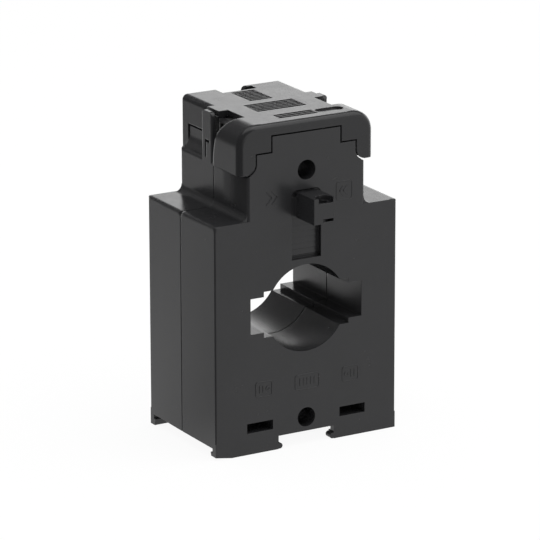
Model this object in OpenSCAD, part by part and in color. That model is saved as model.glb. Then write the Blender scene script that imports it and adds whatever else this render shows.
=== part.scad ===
// Moulded-case current transformer with a stepped busbar window, screw-cage terminals
// under a lift-off cover, and a sliding bracket for the busbar screw.
// It stands on its four feet: +Z is up, X runs across the front, the front faces -Y,
// and the origin lies on the floor under the middle of the housing.

/* [Housing] */
// Width of the housing across its front
body_w = 70.5; // [70:0.5:74]
// Depth of the housing from front face to rear face
body_d = 45.7; // [45:0.1:48]
// Height of the shoulders beside the neck
shoulder_z = 81.1; // [81:0.1:84]
// Thickness of the side walls
wall = 2.2; // [1.8:0.1:2.3]
// Thickness of the front and rear faces
face_t = 2.4; // [2.2:0.1:2.6]
// Radius along the shoulders and on the upright edges of the neck
edge_r = 1; // [0.6:0.1:1.4]
// Radius on the upright corners of the housing
corner_r = 0.5; // [0.4:0.1:1.2]
// How far each side wall leans in from the parting line to the face
draft = 0.2; // [0.1:0.05:0.4]
// Width of the groove that marks the parting line, outside and in the window
parting_w = 0.5; // [0.3:0.1:0.6]

/* [Feet] */
// Height of the underside of the housing above the floor
foot_h = 4.7; // [4.4:0.1:5]
// Thickness of the foot plates
foot_t = 2.3; // [2:0.1:2.6]
// How far the rim under each side wall reaches down
side_rim_h = 0.9; // [0.4:0.1:1]
// Height of the inward lip along the foot plates
foot_lip_h = 2.3; // [1.8:0.1:2.6]
// Reach of the inward lip along the foot plates
foot_lip_reach = 1.3; // [0.8:0.1:1.6]
// Clear width between the two feet of one face
foot_gap = 21.6; // [20:0.2:23]
// Reach of the round hooks into the gap between the feet
foot_hook_reach = 1.5; // [1:0.1:2]

/* [Window] */
// Height of the middle of the window
window_z = 48.2; // [47.8:0.1:48.6]
// Diameter of the round part of the window
cable_d = 30.4; // [28:0.2:31]
// Width of the wide busbar slot
wide_bar_w = 43; // [41:0.5:43]
// Height of the wide busbar slot
wide_bar_h = 12.4; // [10:0.2:12.4]
// Width of the thick busbar slot
thick_bar_w = 32.8; // [31:0.2:34]
// Height of the thick busbar slot
thick_bar_h = 16; // [15:0.2:16.4]
// Thickness of the tunnel wall round the window
tunnel_wall = 1.6; // [1.2:0.1:1.6]

/* [Neck] */
// Width of the neck
neck_w = 45; // [44:0.5:46]
// Height of the top of the neck beside the terminal step
neck_top_z = 96.6; // [96:0.1:97]
// Radius of the fillet between shoulder and neck
neck_fillet = 2.5; // [1.5:0.1:3]
// Width of the terminal step on top of the neck
step_w = 37.8; // [37.4:0.1:38]
// Radius of the hollow between neck and terminal step
step_fillet = 3.7; // [3.2:0.1:3.8]
// Height of the terminal ledge
ledge_z = 103.4; // [103.2:0.1:103.6]
// Width of the tower between the two terminals
tower_w = 26; // [25.6:0.1:26.2]
// Height of the tower between the two terminals
tower_z = 109; // [108.6:0.1:109.2]

/* [Front openings] */
// Diameter of the two deep screw holes
screw_hole_d = 6.8; // [6.4:0.1:7]
// Height of the lower screw hole
low_hole_z = 9.6; // [9.4:0.1:10]
// Height of the upper screw hole
high_hole_z = 96; // [95.6:0.1:96.2]
// Depth of the screw holes down to the screw seats
screw_hole_depth = 14; // [10:0.5:16]
// Distance of each bracket socket from the middle
socket_x = 18; // [17:0.1:19]
// Width of the bracket sockets
socket_w = 10; // [9:0.1:11]
// Height of the bracket sockets
socket_h = 3.4; // [3:0.1:3.6]
// Height of the middle of the bracket sockets
socket_z = 9.2; // [9:0.1:9.6]
// Depth of the bracket sockets
socket_depth = 9; // [6:0.5:12]

/* [Busbar bracket] */
// Width of the sliding bracket
bracket_w = 8; // [7:0.1:9]
// Height of the sliding bracket
bracket_h = 8.7; // [8:0.1:8.8]
// How far the bracket stands out from the front face
bracket_reach = 11.7; // [10:0.1:13]
// Height of the underside of the bracket when parked
bracket_z = 80.2; // [80:0.1:80.3]
// Diameter of the round pocket in the top of the bracket
screw_pocket_d = 5.8; // [5.2:0.1:6.2]
// Diameter of the screw hole through the bracket
busbar_screw_d = 3.4; // [3:0.1:3.6]
// Width of the track opening in the front face
track_w = 11.2; // [10.6:0.1:11.8]
// Height of the lower end of the track
track_low_z = 65.4; // [65:0.1:66]
// Height of the upper end of the track
track_high_z = 89.4; // [89.2:0.1:89.8]
// Spacing of the ratchet teeth in the track
tooth_pitch = 2; // [1.8:0.1:2.4]

/* [Terminal cover] */
// Width of the arched front of the cover
cover_w = 51.8; // [51:0.1:51.9]
// Height of the top of the cover
cover_z = 113.4; // [113.2:0.1:114]
// Height of the lower ends of the arch
cover_leg_z = 96.9; // [96.8:0.1:97.4]
// Outer radius of the arch corners
cover_corner_r = 7.2; // [6:0.1:8]
// Radius that runs round the front edge of the arch
cover_edge_r = 2; // [1:0.1:2.2]
// Wall thickness of the cover
cover_t = 2; // [1.6:0.1:2]
// Gap between the cover and the neck
cover_gap = 0.5; // [0.4:0.05:0.6]
// Width of the rear block of the cover
block_w = 38.6; // [38:0.1:39]
// How far back the rear block reaches
block_y = 27; // [26.6:0.1:27.4]
// Height of the lower edge of the rear skirt
skirt_z = 95; // [94:0.1:97]
// Width of the notch in the rear block
notch_w = 13.6; // [10:0.2:15]

/* [Terminals] */
// Distance of each terminal screw from the middle
terminal_x = 15.9; // [15.8:0.05:16]
// Height of the terminal screws
terminal_z = 107.2; // [107.1:0.05:107.3]
// Diameter of the terminal screws
terminal_screw_d = 4; // [3.6:0.1:4]
// How far each wire cage travels from open to closed
cage_travel = 4.9; // [4:0.1:5]
// Room for the wire in an open cage
wire_room = 5.2; // [5.2:0.05:5.4]

/* [Core and winding] */
// Inner radius of the strip-wound core
core_in_r = 26.8; // [26.8:0.1:27.4]
// Outer radius of the strip-wound core
core_out_r = 30; // [29.2:0.1:30]
// Length of the core along the window
core_l = 29.6; // [24:0.2:29.6]
// Number of bundles in the winding
bundles = 48; // [24:4:60]

/* [Hidden] */
$fn = 64;

// Small gap between pieces that touch, and the overshoot of every cut
fit = 0.05;
cut = 1;

half_w = body_w / 2;
half_d = body_d / 2;
inner_y = half_d - face_t;

// Track behind the front face: lip, groove for the slide foot, ratchet floor
track_lip_t = 0.8;
track_groove_t = 1;
track_floor_t = 2.1;
track_back_t = 3.4;
track_undercut = 0.9;
track_corner_r = 2;
tooth_h = 0.15;

// Screws that hold the two shells together
boss_r = 4.6;
housing_screw_d = 3;
housing_head_d = 6;
housing_head_h = 2.2;

// Terminal parts
cage_wall = 1;
cage_thread_wall = 2.2;
cage_w = 5;
cage_h = 7;
bar_t = 1.2;
bar_h = 4.6;
bar_face_y = -7;
bar_neck_z = 107;
screw_head_d = 5.4;
screw_head_h = 2.4;
web_t = 1.6;
web_front_y = -17.3;
entry_wall_x = 18.8;
entry_wall_t = 1.1;
block_top_z = 111.1;

// Front of the rear block of the cover, and the depth of the grips on top
block_front_y = 0.7;
grip_depth = 0.55;

// Side guards that stand beside the cover
guard_t = 1.5;
guard_front_y = 1.3;
guard_back_y = 8;
guard_top_z = 112.9;
guard_edge_r = 0.7;

// Core, cup and winding, from the inside out
cup_wall = 0.8;
cup_in_r = core_in_r - fit - cup_wall;
cup_out_r = core_out_r + fit + cup_wall;
cup_half_l = core_l / 2 + fit + cup_wall;
wind_t = 1.05;
wind_in_r = cup_in_r - fit - wind_t;
wind_out_r = cup_out_r + fit + wind_t;
wind_half_l = cup_half_l + fit + wind_t;
bundle_w = 2.2;
tape_t = 0.25;
pad_in_r = 26;
pad_out_r = 31;
lead_d = 1.3;
lead_x = 10;

// An outline drawn in X and Z, carried along Y
module along_y(from, to)
    translate([0, to, 0]) rotate([90, 0, 0]) linear_extrude(to - from) children();

// An outline drawn in Y and Z, carried along X
module along_x(from, to)
    translate([from, 0, 0]) rotate([90, 0, 90]) linear_extrude(to - from) children();

// An outline drawn in X and Y, carried up
module along_z(from, to)
    translate([0, 0, from]) linear_extrude(to - from) children();

// The same thing on the left and on the right
module both_sides() {
    children();
    mirror([1, 0, 0]) children();
}

// A block between two opposite corners
module block(low, high) translate(low) cube(high - low);

// A bore or pin along Y at a place on the front view
module rod_y(d, from, to, x = 0, z = 0)
    translate([x, from, z]) rotate([-90, 0, 0]) cylinder(d = d, h = to - from);

// A rectangle with four true round corners
module round_rect(low, high, r) {
    translate([low[0] + r, low[1]]) square([high[0] - low[0] - 2 * r, high[1] - low[1]]);
    translate([low[0], low[1] + r]) square([high[0] - low[0], high[1] - low[1] - 2 * r]);
    for (x = [low[0] + r, high[0] - r], z = [low[1] + r, high[1] - r])
        translate([x, z]) circle(r = r);
}

// A rectangle whose upper two corners are round
module round_top(low, high, r) {
    translate(low) square([high[0] - low[0], high[1] - low[1] - r]);
    translate([low[0] + r, low[1]]) square([high[0] - low[0] - 2 * r, high[1] - low[1]]);
    for (x = [low[0] + r, high[0] - r])
        translate([x, high[1] - r]) circle(r = r);
}

// Front view of the main housing with the rims under its side walls, grown by grow
module body_outline(grow = 0) {
    rim_w = 1.2;
    round_top([-half_w - grow, foot_h - grow], [half_w + grow, shoulder_z + grow], edge_r);
    both_sides() translate([half_w - rim_w, foot_h - side_rim_h - grow])
        square([rim_w + grow, side_rim_h + wall]);
}

// Plan of one half of the housing, leaning in towards its face
module body_plan() {
    lean = draft * (1 - corner_r / half_d);
    both_sides() {
        polygon([
            [0, 0], [0, -half_d], [half_w - draft - corner_r, -half_d],
            [half_w - lean, -half_d + corner_r], [half_w, 0]
        ]);
        translate([half_w - draft - corner_r, -half_d + corner_r]) circle(r = corner_r);
    }
}

// Plan of one half of the neck, with rounded upright edges
module neck_plan() both_sides() {
    square([neck_w / 2 - edge_r, half_d + cut]);
    translate([0, edge_r]) square([neck_w / 2, half_d]);
    translate([neck_w / 2 - edge_r, edge_r]) circle(r = edge_r);
}

// Front view of the neck up to the terminal ledge, grown by grow
module neck_outline(grow = 0) {
    neck_half = neck_w / 2 + grow;
    step_half = step_w / 2 + grow;
    top_r = 1.4;
    hollow_r = step_fillet - grow;
    round_top([-neck_half, shoulder_z - wall], [neck_half, neck_top_z + grow], top_r);
    translate([-step_half, shoulder_z])
        square([2 * step_half, ledge_z + grow - shoulder_z]);
    // hollow beside the terminal step
    both_sides() difference() {
        translate([step_half - cut, neck_top_z + grow - cut])
            square([hollow_r + cut, hollow_r + cut]);
        translate([step_half + hollow_r, neck_top_z + grow + hollow_r]) circle(r = hollow_r);
        translate([neck_half - top_r, neck_top_z + grow - 2 * cut])
            square([hollow_r, 4 * cut]);
    }
}

// Fillets where the neck stands on the shoulders
module neck_root_outline() both_sides() difference() {
    translate([neck_w / 2 - cut, shoulder_z - cut]) square(neck_fillet + cut);
    translate([neck_w / 2 + neck_fillet, shoulder_z + neck_fillet]) circle(r = neck_fillet);
}

// Front view of the tower between the terminals, grown by grow
module tower_outline(grow = 0)
    translate([-tower_w / 2 - grow, ledge_z - cut])
        square([tower_w + 2 * grow, tower_z + grow - ledge_z + cut]);

// Window for a round cable or either of two flat busbars, grown by grow
module window_outline(grow = 0) translate([0, window_z]) {
    circle(d = cable_d + 2 * grow);
    square([wide_bar_w + 2 * grow, wide_bar_h + 2 * grow], center = true);
    square([thick_bar_w + 2 * grow, thick_bar_h + 2 * grow], center = true);
}

// Room inside the two shells
module cavity_outline() {
    translate([-half_w + wall, foot_h + wall])
        square([body_w - 2 * wall, shoulder_z - foot_h - 2 * wall]);
    translate([-neck_w / 2 + wall, shoulder_z - 2 * wall])
        square([neck_w - 2 * wall, neck_top_z - shoulder_z + wall]);
    translate([-step_w / 2 + wall, neck_top_z - 2 * wall])
        square([step_w - 2 * wall, ledge_z - neck_top_z + wall]);
}

// Section of a foot plate, seen from the side, with its tapering inward lip
module foot_section() polygon([
    [-half_d, 0], [-half_d + foot_t + 0.6, 0],
    [-half_d + foot_t + foot_lip_reach, foot_lip_h], [-half_d + foot_t, foot_lip_h],
    [-half_d + foot_t, foot_h + cut], [-half_d, foot_h + cut]
]);

// The two feet of one face, with round hooks that face each other
module feet() {
    foot_end = half_w - draft;
    hook_r = foot_hook_reach / 2 + 0.25;
    both_sides() along_x(foot_gap / 2, foot_end) foot_section();
    both_sides() translate([foot_gap / 2, 0, hook_r + 0.1])
        rod_y(2 * hook_r, -half_d, -half_d + foot_t + foot_lip_reach / 2,
              x = hook_r - foot_hook_reach);
}

// Outside of one half of the housing, with its feet
module shell_solid() {
    intersection() {
        along_y(-half_d, 0) body_outline();
        along_z(0, shoulder_z + cut) body_plan();
    }
    intersection() {
        along_y(-half_d, 0) neck_outline();
        translate([0, -half_d, 0]) along_z(0, ledge_z + cut) neck_plan();
    }
    along_y(-half_d + edge_r / 2, 0) neck_root_outline();
    along_y(-half_d, -inner_y) tower_outline();
    feet();
}

// One half of the housing, opening towards +Y, with its half of the window tunnel
module shell_half() difference() {
    union() {
        difference() {
            shell_solid();
            along_y(-inner_y, cut) cavity_outline();
        }
        along_y(-half_d, 0) window_outline(tunnel_wall);
    }
    along_y(-half_d - cut, cut) window_outline();
    // groove that marks the parting line
    along_y(-parting_w / 2, cut) window_outline(0.3);
    along_y(-parting_w / 2, cut) difference() {
        translate([-half_w - cut, foot_h - cut])
            square([body_w + 2 * cut, ledge_z - foot_h + 2 * cut]);
        body_outline(-parting_w / 2);
        neck_outline(-parting_w / 2);
        neck_root_outline();
    }
    // notches at the parting line on the shoulders
    both_sides() block([half_w - 0.8, -0.7, shoulder_z - 1.2],
                       [half_w + cut, cut, shoulder_z + cut]);
}

// Blind sockets for fixing brackets, low on the face
module sockets(grow, depth) both_sides()
    block([socket_x - socket_w / 2 - grow, -half_d - cut + (grow > 0 ? cut : 0),
           socket_z - socket_h / 2 - grow],
          [socket_x + socket_w / 2 + grow, -half_d + depth,
           socket_z + socket_h / 2 + grow]);

// Ratchet track: a rounded opening, a wider groove behind it and a toothed floor
module track_cut() {
    along_y(-half_d - cut, -half_d + track_lip_t + fit)
        round_top([-track_w / 2, track_low_z], [track_w / 2, track_high_z], track_corner_r);
    block([-track_w / 2 - track_undercut, -half_d + track_lip_t, track_low_z],
          [track_w / 2 + track_undercut, -half_d + track_lip_t + track_groove_t, track_high_z]);
    block([-track_w / 2, -half_d + track_lip_t, track_low_z],
          [track_w / 2, -half_d + track_floor_t, track_high_z]);
}

// Teeth on the floor of the track, flat below and sloping above
module track_teeth() {
    floor_y = -half_d + track_floor_t;
    for (z = [track_low_z + tooth_pitch / 2 : tooth_pitch : track_high_z - tooth_pitch / 2])
        along_x(-track_w / 2 - fit, track_w / 2 + fit)
            polygon([[floor_y + fit, z], [floor_y - tooth_h, z],
                     [floor_y + fit, z + 0.7 * tooth_pitch]]);
}

module front_shell() color([0.17, 0.17, 0.18]) {
    difference() {
        union() {
            shell_half();
            for (z = [low_hole_z, high_hole_z]) rod_y(2 * boss_r, -inner_y - cut, 0, z = z);
            sockets(1.2, socket_depth + 1.2);
            block([-track_w / 2 - 2, -inner_y - cut, track_low_z - 1.2],
                  [track_w / 2 + 2, -half_d + track_back_t, track_high_z + 1.2]);
        }
        for (z = [low_hole_z, high_hole_z]) {
            rod_y(screw_hole_d, -half_d - cut, -half_d + screw_hole_depth, z = z);
            rod_y(housing_screw_d + 0.3, -half_d, cut, z = z);
        }
        sockets(0, socket_depth);
        track_cut();
        // slots through the ledge for the two terminal bars
        both_sides() block([lead_x - 1.1, bar_face_y - 0.1, ledge_z - 2 * wall],
                           [lead_x + 1.1, bar_face_y + bar_t + 0.1, ledge_z + cut]);
        // shallow relief under the outer end of the left foot
        along_y(-half_d - cut, -half_d + foot_t + foot_lip_reach + cut)
            polygon([[-28.9, 0], [-half_w - cut, 1.2], [-half_w - cut, -cut], [-28.9, -cut]]);
    }
    track_teeth();
}

// Upright guard beside each terminal, with the angled slit of its snap tongue
module side_guard() {
    slit_w = 0.8;
    slit_y = 5;
    tongue_z = 102.3;
    in_x = neck_w / 2 - guard_t;
    out_x = neck_w / 2;
    difference() {
        intersection() {
            along_x(in_x, out_x)
                round_top([guard_front_y, neck_top_z - 2.2], [guard_back_y, guard_top_z], 1.6);
            along_z(neck_top_z - 3, guard_top_z + cut) {
                translate([in_x, guard_front_y])
                    square([guard_t - guard_edge_r, guard_back_y - guard_front_y]);
                round_rect([in_x, guard_front_y], [out_x, guard_back_y], guard_edge_r);
            }
        }
        block([in_x - cut, slit_y, neck_top_z + 0.4], [out_x + cut, slit_y + slit_w, tongue_z]);
        block([in_x - cut, slit_y - 2.4, tongue_z - fit],
              [out_x + cut, slit_y + slit_w, tongue_z + slit_w]);
    }
}

module rear_shell() color([0.2, 0.2, 0.21]) {
    difference() {
        union() {
            mirror([0, 1, 0]) difference() {
                union() {
                    shell_half();
                    for (z = [low_hole_z, high_hole_z])
                        rod_y(2 * boss_r, -inner_y - cut, 0, z = z);
                    sockets(1.2, socket_depth + 1.2);
                }
                sockets(0, socket_depth);
            }
            both_sides() side_guard();
        }
        for (z = [low_hole_z, high_hole_z])
            rod_y(housing_screw_d + 2 * fit, -cut, 14, z = z);
    }
}

// Front view of the whole arch of the cover, inset evenly by inset
module arch_outline(inset = 0)
    round_top([-cover_w / 2 + inset, cover_leg_z - cut],
              [cover_w / 2 - inset, cover_z - inset], cover_corner_r - inset);

// Solid arch whose front edge is rounded along both legs, corners and top
module rounded_arch(back_y) {
    r = cover_edge_r;
    bend_r = cover_corner_r - r;
    leg_x = cover_w / 2 - r;
    top_z = cover_z - r;
    along_y(-half_d + r, back_y) arch_outline();
    along_y(-half_d, back_y) arch_outline(r);
    both_sides() {
        translate([leg_x, -half_d + r, cover_leg_z - cut])
            cylinder(r = r, h = cover_z - cover_corner_r - cover_leg_z + cut);
        translate([leg_x - bend_r, -half_d + r, top_z - bend_r]) rotate([90, 0, 0])
            rotate_extrude(angle = 90) translate([bend_r, 0]) circle(r = r);
    }
    translate([-leg_x + bend_r, -half_d + r, top_z]) rotate([0, 90, 0])
        cylinder(r = r, h = 2 * (leg_x - bend_r));
}

// Arch that frames the front of the terminals
module cover_arch() {
    back_y = -4;
    rim_r = 27;
    difference() {
        intersection() {
            rounded_arch(back_y);
            along_x(-cover_w, cover_w) translate([-32.8, 97.6]) circle(r = rim_r);
        }
        block([-cover_w, -half_d - cut, 0], [cover_w, back_y + cut, cover_leg_z]);
        along_y(-inner_y, back_y + cut) arch_outline(cover_t);
        along_y(-half_d - cut, -inner_y + cut) {
            neck_outline(cover_gap);
            tower_outline(cover_gap);
        }
    }
}

// Rear block of the cover: rounded on top, with a skirt behind the neck and a notch
module cover_block() {
    side_r = 2;
    rear_r = 0.5;
    skirt_y = half_d + 0.3;
    rest_gap = cover_gap + 0.3;
    difference() {
        intersection() {
            along_y(block_front_y, block_y)
                round_top([-block_w / 2, skirt_z], [block_w / 2, cover_z], side_r);
            along_x(-block_w, block_w)
                round_top([-block_y, skirt_z - cut], [block_y, cover_z], rear_r);
        }
        // inner room, then the edge that rests above the ledge
        block([-block_w / 2 + cover_t, block_front_y - cut, skirt_z - cut],
              [block_w / 2 - cover_t, block_y - cover_t, cover_z - cover_t]);
        block([-block_w, block_front_y - cut, skirt_z - cut],
              [block_w, skirt_y, ledge_z + rest_gap]);
    }
}

// Notch in the rear edge, with a round-cornered tongue that reaches in from the right
module rear_notch() {
    front_y = block_y - 5.6;
    tongue_y = block_y - 1.7;
    tongue_x = 3.4;
    tongue_r = 1.7;
    block([-notch_w / 2, front_y, skirt_z - cut], [notch_w / 2 - 0.4, tongue_y, cover_z + cut]);
    block([-notch_w / 2, front_y, skirt_z - cut], [tongue_x, block_y + cut, cover_z + cut]);
    along_y(tongue_y - cut, block_y + cut) difference() {
        translate([tongue_x - cut, cover_z - tongue_r]) square(tongue_r + cut);
        translate([tongue_x + tongue_r, cover_z - tongue_r]) circle(r = tongue_r);
    }
}

// Grooves along X that make a patch of finger grip
module grip_grooves(half_x, from_y, to_y, count) {
    pitch = (to_y - from_y) / count;
    for (i = [0 : count - 1])
        translate([-half_x, from_y + (i + 0.12) * pitch, cover_z - grip_depth])
            cube([2 * half_x, 0.76 * pitch, cut]);
}

module terminal_cover() color([0.2, 0.2, 0.21]) difference() {
    union() {
        cover_arch();
        cover_block();
        block([-16.7, -inner_y - cut, cover_z - cover_t], [16.7, block_front_y + cut, cover_z]);
        // tabs that reach out to the side guards
        block([-20.2, block_front_y - 0.2, cover_z - cover_t], [20.2, guard_back_y, cover_z]);
    }
    rear_notch();
    grip_grooves(4.4, 6.8, 20.2, 8);
    grip_grooves(9.4, -7, 3.1, 6);
    grip_grooves(7.3, -18.1, -12.9, 3);
    // shallow oval field beside the front grip
    translate([12.9, -15.7, cover_z - grip_depth]) linear_extrude(cut) {
        square([6, 4.4], center = true);
        for (x = [-3, 3]) translate([x, 0]) circle(d = 4.4);
    }
}

// Bracket that slides down its ratchet track and carries the busbar screw
module busbar_bracket() color([0.16, 0.16, 0.17]) {
    tip_y = -half_d - bracket_reach;
    top_z = bracket_z + bracket_h;
    foot_y = -half_d + track_lip_t + track_groove_t;
    screw_x = 0.5;
    screw_y = tip_y + 2.6;
    pocket_h = 1.7;
    difference() {
        union() {
            block([-bracket_w / 2, tip_y, bracket_z], [bracket_w / 2, -half_d + fit, top_z]);
            block([-track_w / 2 + fit, -half_d, bracket_z + 0.2],
                  [track_w / 2 - fit, foot_y - fit, top_z - 1.6]);
            block([-track_w / 2 - track_undercut + fit, -half_d + track_lip_t + fit,
                   bracket_z + 0.2],
                  [track_w / 2 + track_undercut - fit, foot_y - fit, top_z]);
        }
        // screw hole, and the pocket for the screw's head that breaks through the front
        translate([screw_x, screw_y, bracket_z - cut])
            cylinder(d = busbar_screw_d, h = bracket_h + 2 * cut);
        for (y = [0.9, 1.4]) translate([screw_x, tip_y + y, top_z - pocket_h])
            cylinder(d = screw_pocket_d, h = pocket_h + cut);
        // slot for the nut, low in the front wall
        block([-0.6, tip_y - cut, bracket_z + 0.6], [3.4, screw_y + 1.5, bracket_z + 1.6]);
    }
}

// Insulating block on the ledge that carries both terminals
module terminal_block() color([0.14, 0.14, 0.15]) {
    floor_z = ledge_z + fit;
    side_x = tower_w / 2 - 0.2;
    end_y = inner_y - 0.15;
    skin = 1.6;
    difference() {
        union() {
            block([-side_x, -end_y, floor_z], [side_x, end_y, tower_z - 0.2]);
            both_sides() {
                // web that keeps the screw in place
                block([side_x - cut, web_front_y, floor_z],
                      [entry_wall_x + entry_wall_t, web_front_y + web_t, block_top_z]);
                // wall with the wire entry
                block([entry_wall_x, web_front_y, floor_z],
                      [entry_wall_x + entry_wall_t, 0.4, block_top_z]);
                // wall behind the cage
                block([side_x - cut, 0.9, floor_z], [16.8, 2.1, block_top_z]);
            }
        }
        block([-side_x + skin, -end_y + skin, floor_z - cut],
              [side_x - skin, end_y - skin, tower_z - 0.2 - skin]);
        both_sides() {
            rod_y(terminal_screw_d + 2 * fit, web_front_y - cut, web_front_y + web_t + cut,
                  x = terminal_x, z = terminal_z);
            block([entry_wall_x - cut, bar_face_y + bar_t, terminal_z - 2.4],
                  [entry_wall_x + entry_wall_t + cut, bar_face_y + bar_t + wire_room,
                   terminal_z + 2.4]);
            // slot that lets the block drop over the terminal bar
            block([side_x - skin - cut, bar_face_y - 0.1, floor_z - cut],
                  [side_x + cut, bar_face_y + bar_t + 0.1, bar_neck_z + 0.1]);
        }
    }
}

// Captive terminal screw with a cross recess, its tip on the terminal bar
module terminal_screw() difference() {
    union() {
        rod_y(screw_head_d, web_front_y - 0.1 - screw_head_h, web_front_y - 0.1,
              x = terminal_x, z = terminal_z);
        rod_y(terminal_screw_d, web_front_y - 0.1 - cut, bar_face_y - fit,
              x = terminal_x, z = terminal_z);
    }
    translate([terminal_x, web_front_y - 0.1 - screw_head_h, terminal_z]) {
        cube([3.4, 2.4, 0.8], center = true);
        cube([0.8, 2.4, 3.4], center = true);
    }
}

// Square wire cage that the screw pulls towards the front
module wire_cage() {
    x0 = terminal_x - cage_w / 2;
    x1 = terminal_x + cage_w / 2;
    z0 = terminal_z - cage_h / 2;
    z1 = terminal_z + cage_h / 2;
    front_y = bar_face_y - 0.8 - cage_thread_wall;
    back_y = bar_face_y + bar_t + wire_room + cage_wall;
    difference() {
        block([x0, front_y, z0], [x1, back_y, z1]);
        block([x0 - cut, front_y + cage_thread_wall, z0 + cage_wall],
              [x1 + cut, back_y - cage_wall, z1 - cage_wall]);
        rod_y(terminal_screw_d + 2 * fit, front_y - cut, front_y + cage_thread_wall + cut,
              x = terminal_x, z = terminal_z);
    }
}

// Angled terminal bar: its foot goes down to the lead, its arm crosses the cage
module terminal_bar() {
    low_z = terminal_z - bar_h / 2;
    end_x = terminal_x + cage_w / 2 + 0.2;
    along_y(bar_face_y, bar_face_y + bar_t) {
        translate([lead_x - 1, ledge_z - 6]) square([2, bar_neck_z - ledge_z + 6]);
        translate([lead_x - 1, low_z]) square([end_x - lead_x + 1, bar_neck_z - low_z]);
        translate([tower_w / 2 + 0.1, low_z]) square([end_x - tower_w / 2 - 0.1, bar_h]);
    }
}

// Round tube along a route that stays in one plane of constant X
module swept_tube(route, d) {
    sides = 10;
    last = len(route) - 1;
    points = [
        for (i = [0 : last])
            let (run = route[min(i + 1, last)] - route[max(i - 1, 0)],
                 side = [1, 0, 0], lift = cross(run, side) / norm(run))
            for (k = [0 : sides - 1])
                route[i] + d / 2 * (cos(360 * k / sides) * side + sin(360 * k / sides) * lift)
    ];
    walls = [
        for (i = [0 : last - 1], k = [0 : sides - 1])
            let (a = i * sides + k, b = i * sides + (k + 1) % sides) [a, a + sides, b + sides, b]
    ];
    start_cap = [for (k = [0 : sides - 1]) k];
    end_cap = [for (k = [0 : sides - 1]) last * sides + sides - 1 - k];
    polyhedron(points, concat([start_cap], [end_cap], walls));
}

// Insulated wire from the winding up to the foot of a terminal bar, in one smooth S bend
module lead() {
    start_y = 13;
    end_y = bar_face_y + bar_t + lead_d / 2 + 0.02;
    start_z = window_z + sqrt(pow(wind_out_r + fit, 2) - pow(lead_x - lead_d / 2, 2));
    end_z = ledge_z - 3.4;
    steps = 12;
    swept_tube([
        for (i = [0 : steps])
            let (t = i / steps, bend = t * t * (3 - 2 * t))
            [lead_x, start_y + (end_y - start_y) * bend, start_z + (end_z - start_z) * t]
    ], lead_d);
}

// Ring about the axis of the window
module ring(in_r, out_r, from, to) translate([0, 0, window_z]) difference() {
    rod_y(2 * out_r, from, to);
    rod_y(2 * in_r, from - cut, to + cut);
}

module ring_core() color([0.62, 0.63, 0.66]) ring(core_in_r, core_out_r, -core_l / 2, core_l / 2);

module core_cup() color([0.85, 0.83, 0.76]) {
    floor_y = -cup_half_l + cup_wall;
    ring(cup_in_r, cup_out_r, -cup_half_l, floor_y);
    ring(cup_in_r, cup_in_r + cup_wall, floor_y - fit, cup_half_l - cup_wall);
    ring(cup_out_r - cup_wall, cup_out_r, floor_y - fit, cup_half_l - cup_wall);
}

module core_cup_lid() color([0.85, 0.83, 0.76])
    ring(cup_in_r, cup_out_r, cup_half_l - cup_wall + fit / 2, cup_half_l);

// Bundles of turns wrapped round the cup, joined by the layer under the tape
module secondary_winding() color([0.72, 0.42, 0.2]) {
    step = 360 / bundles;
    difference() {
        translate([0, 0, window_z]) for (i = [0 : bundles - 1]) rotate([0, (i + 0.5) * step, 0])
            block([-bundle_w / 2, -wind_half_l, wind_in_r], [bundle_w / 2, wind_half_l, wind_out_r]);
        ring(wind_in_r + wind_t, wind_out_r - wind_t, -wind_half_l + wind_t, wind_half_l - wind_t);
    }
    ring(wind_out_r - wind_t, wind_out_r - 0.6, -wind_half_l + 2, wind_half_l - 2);
}

module winding_tape() color([0.86, 0.78, 0.45])
    ring(wind_out_r + fit, wind_out_r + fit + tape_t, -11, 11);

module front_core_pad() color([0.3, 0.31, 0.33]) difference() {
    ring(pad_in_r, pad_out_r, -inner_y + 0.1, -wind_half_l - fit);
    block([-9, -inner_y - cut, window_z], [9, 0, shoulder_z + 10]);
}

module rear_core_pad() color([0.3, 0.31, 0.33])
    ring(pad_in_r, pad_out_r, wind_half_l + fit, inner_y - 0.1);

// Screw with a cross recess that holds the shells together
module housing_screw(z) color([0.7, 0.7, 0.72]) {
    seat_y = -half_d + screw_hole_depth;
    difference() {
        union() {
            rod_y(housing_head_d, seat_y - housing_head_h, seat_y - fit, z = z);
            rod_y(housing_screw_d, seat_y - cut, 13, z = z);
        }
        translate([0, seat_y - housing_head_h, z]) {
            cube([3.6, 2.4, 0.9], center = true);
            cube([0.9, 2.4, 3.6], center = true);
        }
    }
}

module housing_screw_low() housing_screw(low_hole_z);
module housing_screw_high() housing_screw(high_hole_z);

module terminal_screw_right() color([0.75, 0.75, 0.77]) terminal_screw();
module terminal_screw_left() color([0.75, 0.75, 0.77]) mirror([1, 0, 0]) terminal_screw();
module wire_cage_right() color([0.6, 0.6, 0.62]) wire_cage();
module wire_cage_left() color([0.6, 0.6, 0.62]) mirror([1, 0, 0]) wire_cage();
module terminal_bar_right() color([0.8, 0.66, 0.3]) terminal_bar();
module terminal_bar_left() color([0.8, 0.66, 0.3]) mirror([1, 0, 0]) terminal_bar();
module lead_right() color([0.9, 0.9, 0.88]) lead();
module lead_left() color([0.9, 0.9, 0.88]) mirror([1, 0, 0]) lead();

front_shell();
rear_shell();
terminal_cover();
busbar_bracket();
terminal_block();
terminal_screw_left();
terminal_screw_right();
wire_cage_left();
wire_cage_right();
terminal_bar_left();
terminal_bar_right();
lead_left();
lead_right();
core_cup();
core_cup_lid();
ring_core();
secondary_winding();
winding_tape();
front_core_pad();
rear_core_pad();
housing_screw_low();
housing_screw_high();
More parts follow.
